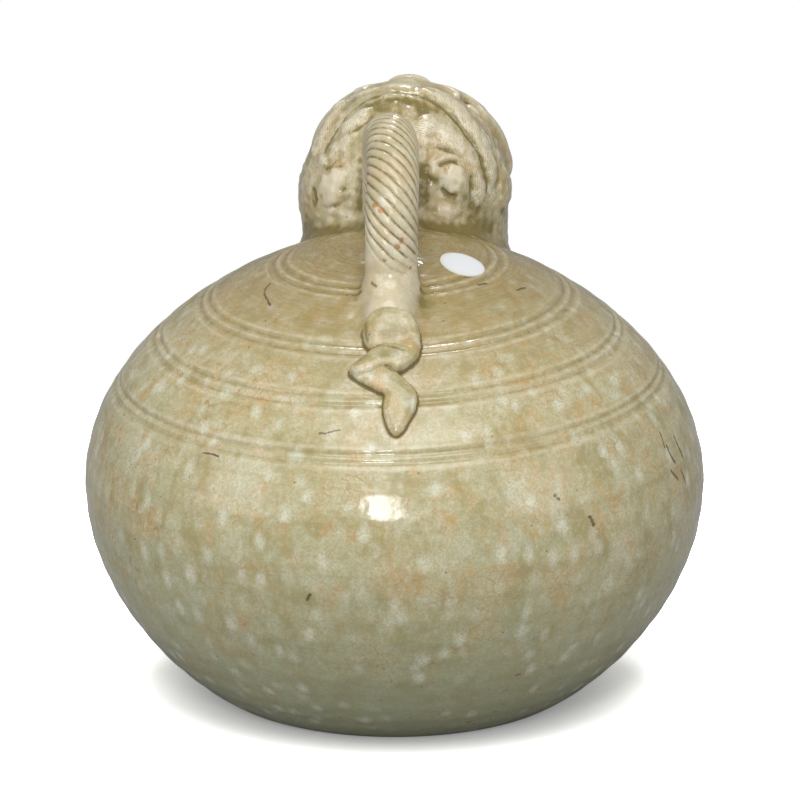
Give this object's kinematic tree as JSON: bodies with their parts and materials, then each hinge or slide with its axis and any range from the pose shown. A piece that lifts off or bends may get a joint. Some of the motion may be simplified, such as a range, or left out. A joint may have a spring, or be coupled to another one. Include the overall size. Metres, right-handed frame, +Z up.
{
  "type": "tiger-shaped urinal",
  "caption": "Squat round glazed stoneware vessel with a tiger's head whose open mouth is the spout, a twisted arched handle behind it and a folded tail on the shoulder.",
  "frame": {"origin": "middle of the flat base, on the surface that it stands on", "axes": "+Z up; the mouth faces -Y, and the handle and tail are on the +Y side; +X is the tiger's left"},
  "size_m": [0.2252, 0.2252, 0.2179],
  "materials": {
    "body_glaze": "glossy celadon glaze with a fine crackle, over a grey stoneware body",
    "head_glaze": "glossy celadon glaze, pooled darker in the modelling",
    "handle_glaze": "glossy celadon glaze, thin on the ridges",
    "tail_glaze": "glossy celadon glaze, pale on the folds"
  },
  "bodies": {
    "root": {"body": "body_glaze", "head": "head_glaze", "mouth_lip": "head_glaze", "neck_coil": "head_glaze", "handle": "handle_glaze", "handle_foot": "handle_glaze", "nape_pad": "handle_glaze", "tail": "tail_glaze", "mane": "head_glaze", "crest_knot": "head_glaze", "nose": "head_glaze", "ear_left": "head_glaze", "ear_right": "head_glaze", "eye_left": "head_glaze", "eye_right": "head_glaze", "brow_left": "head_glaze", "brow_right": "head_glaze", "whisker_pad_left": "head_glaze", "whisker_pad_right": "head_glaze", "fang_upper_left": "head_glaze", "fang_upper_right": "head_glaze", "fang_lower_left": "head_glaze", "fang_lower_right": "head_glaze"}
  },
  "joints": []
}
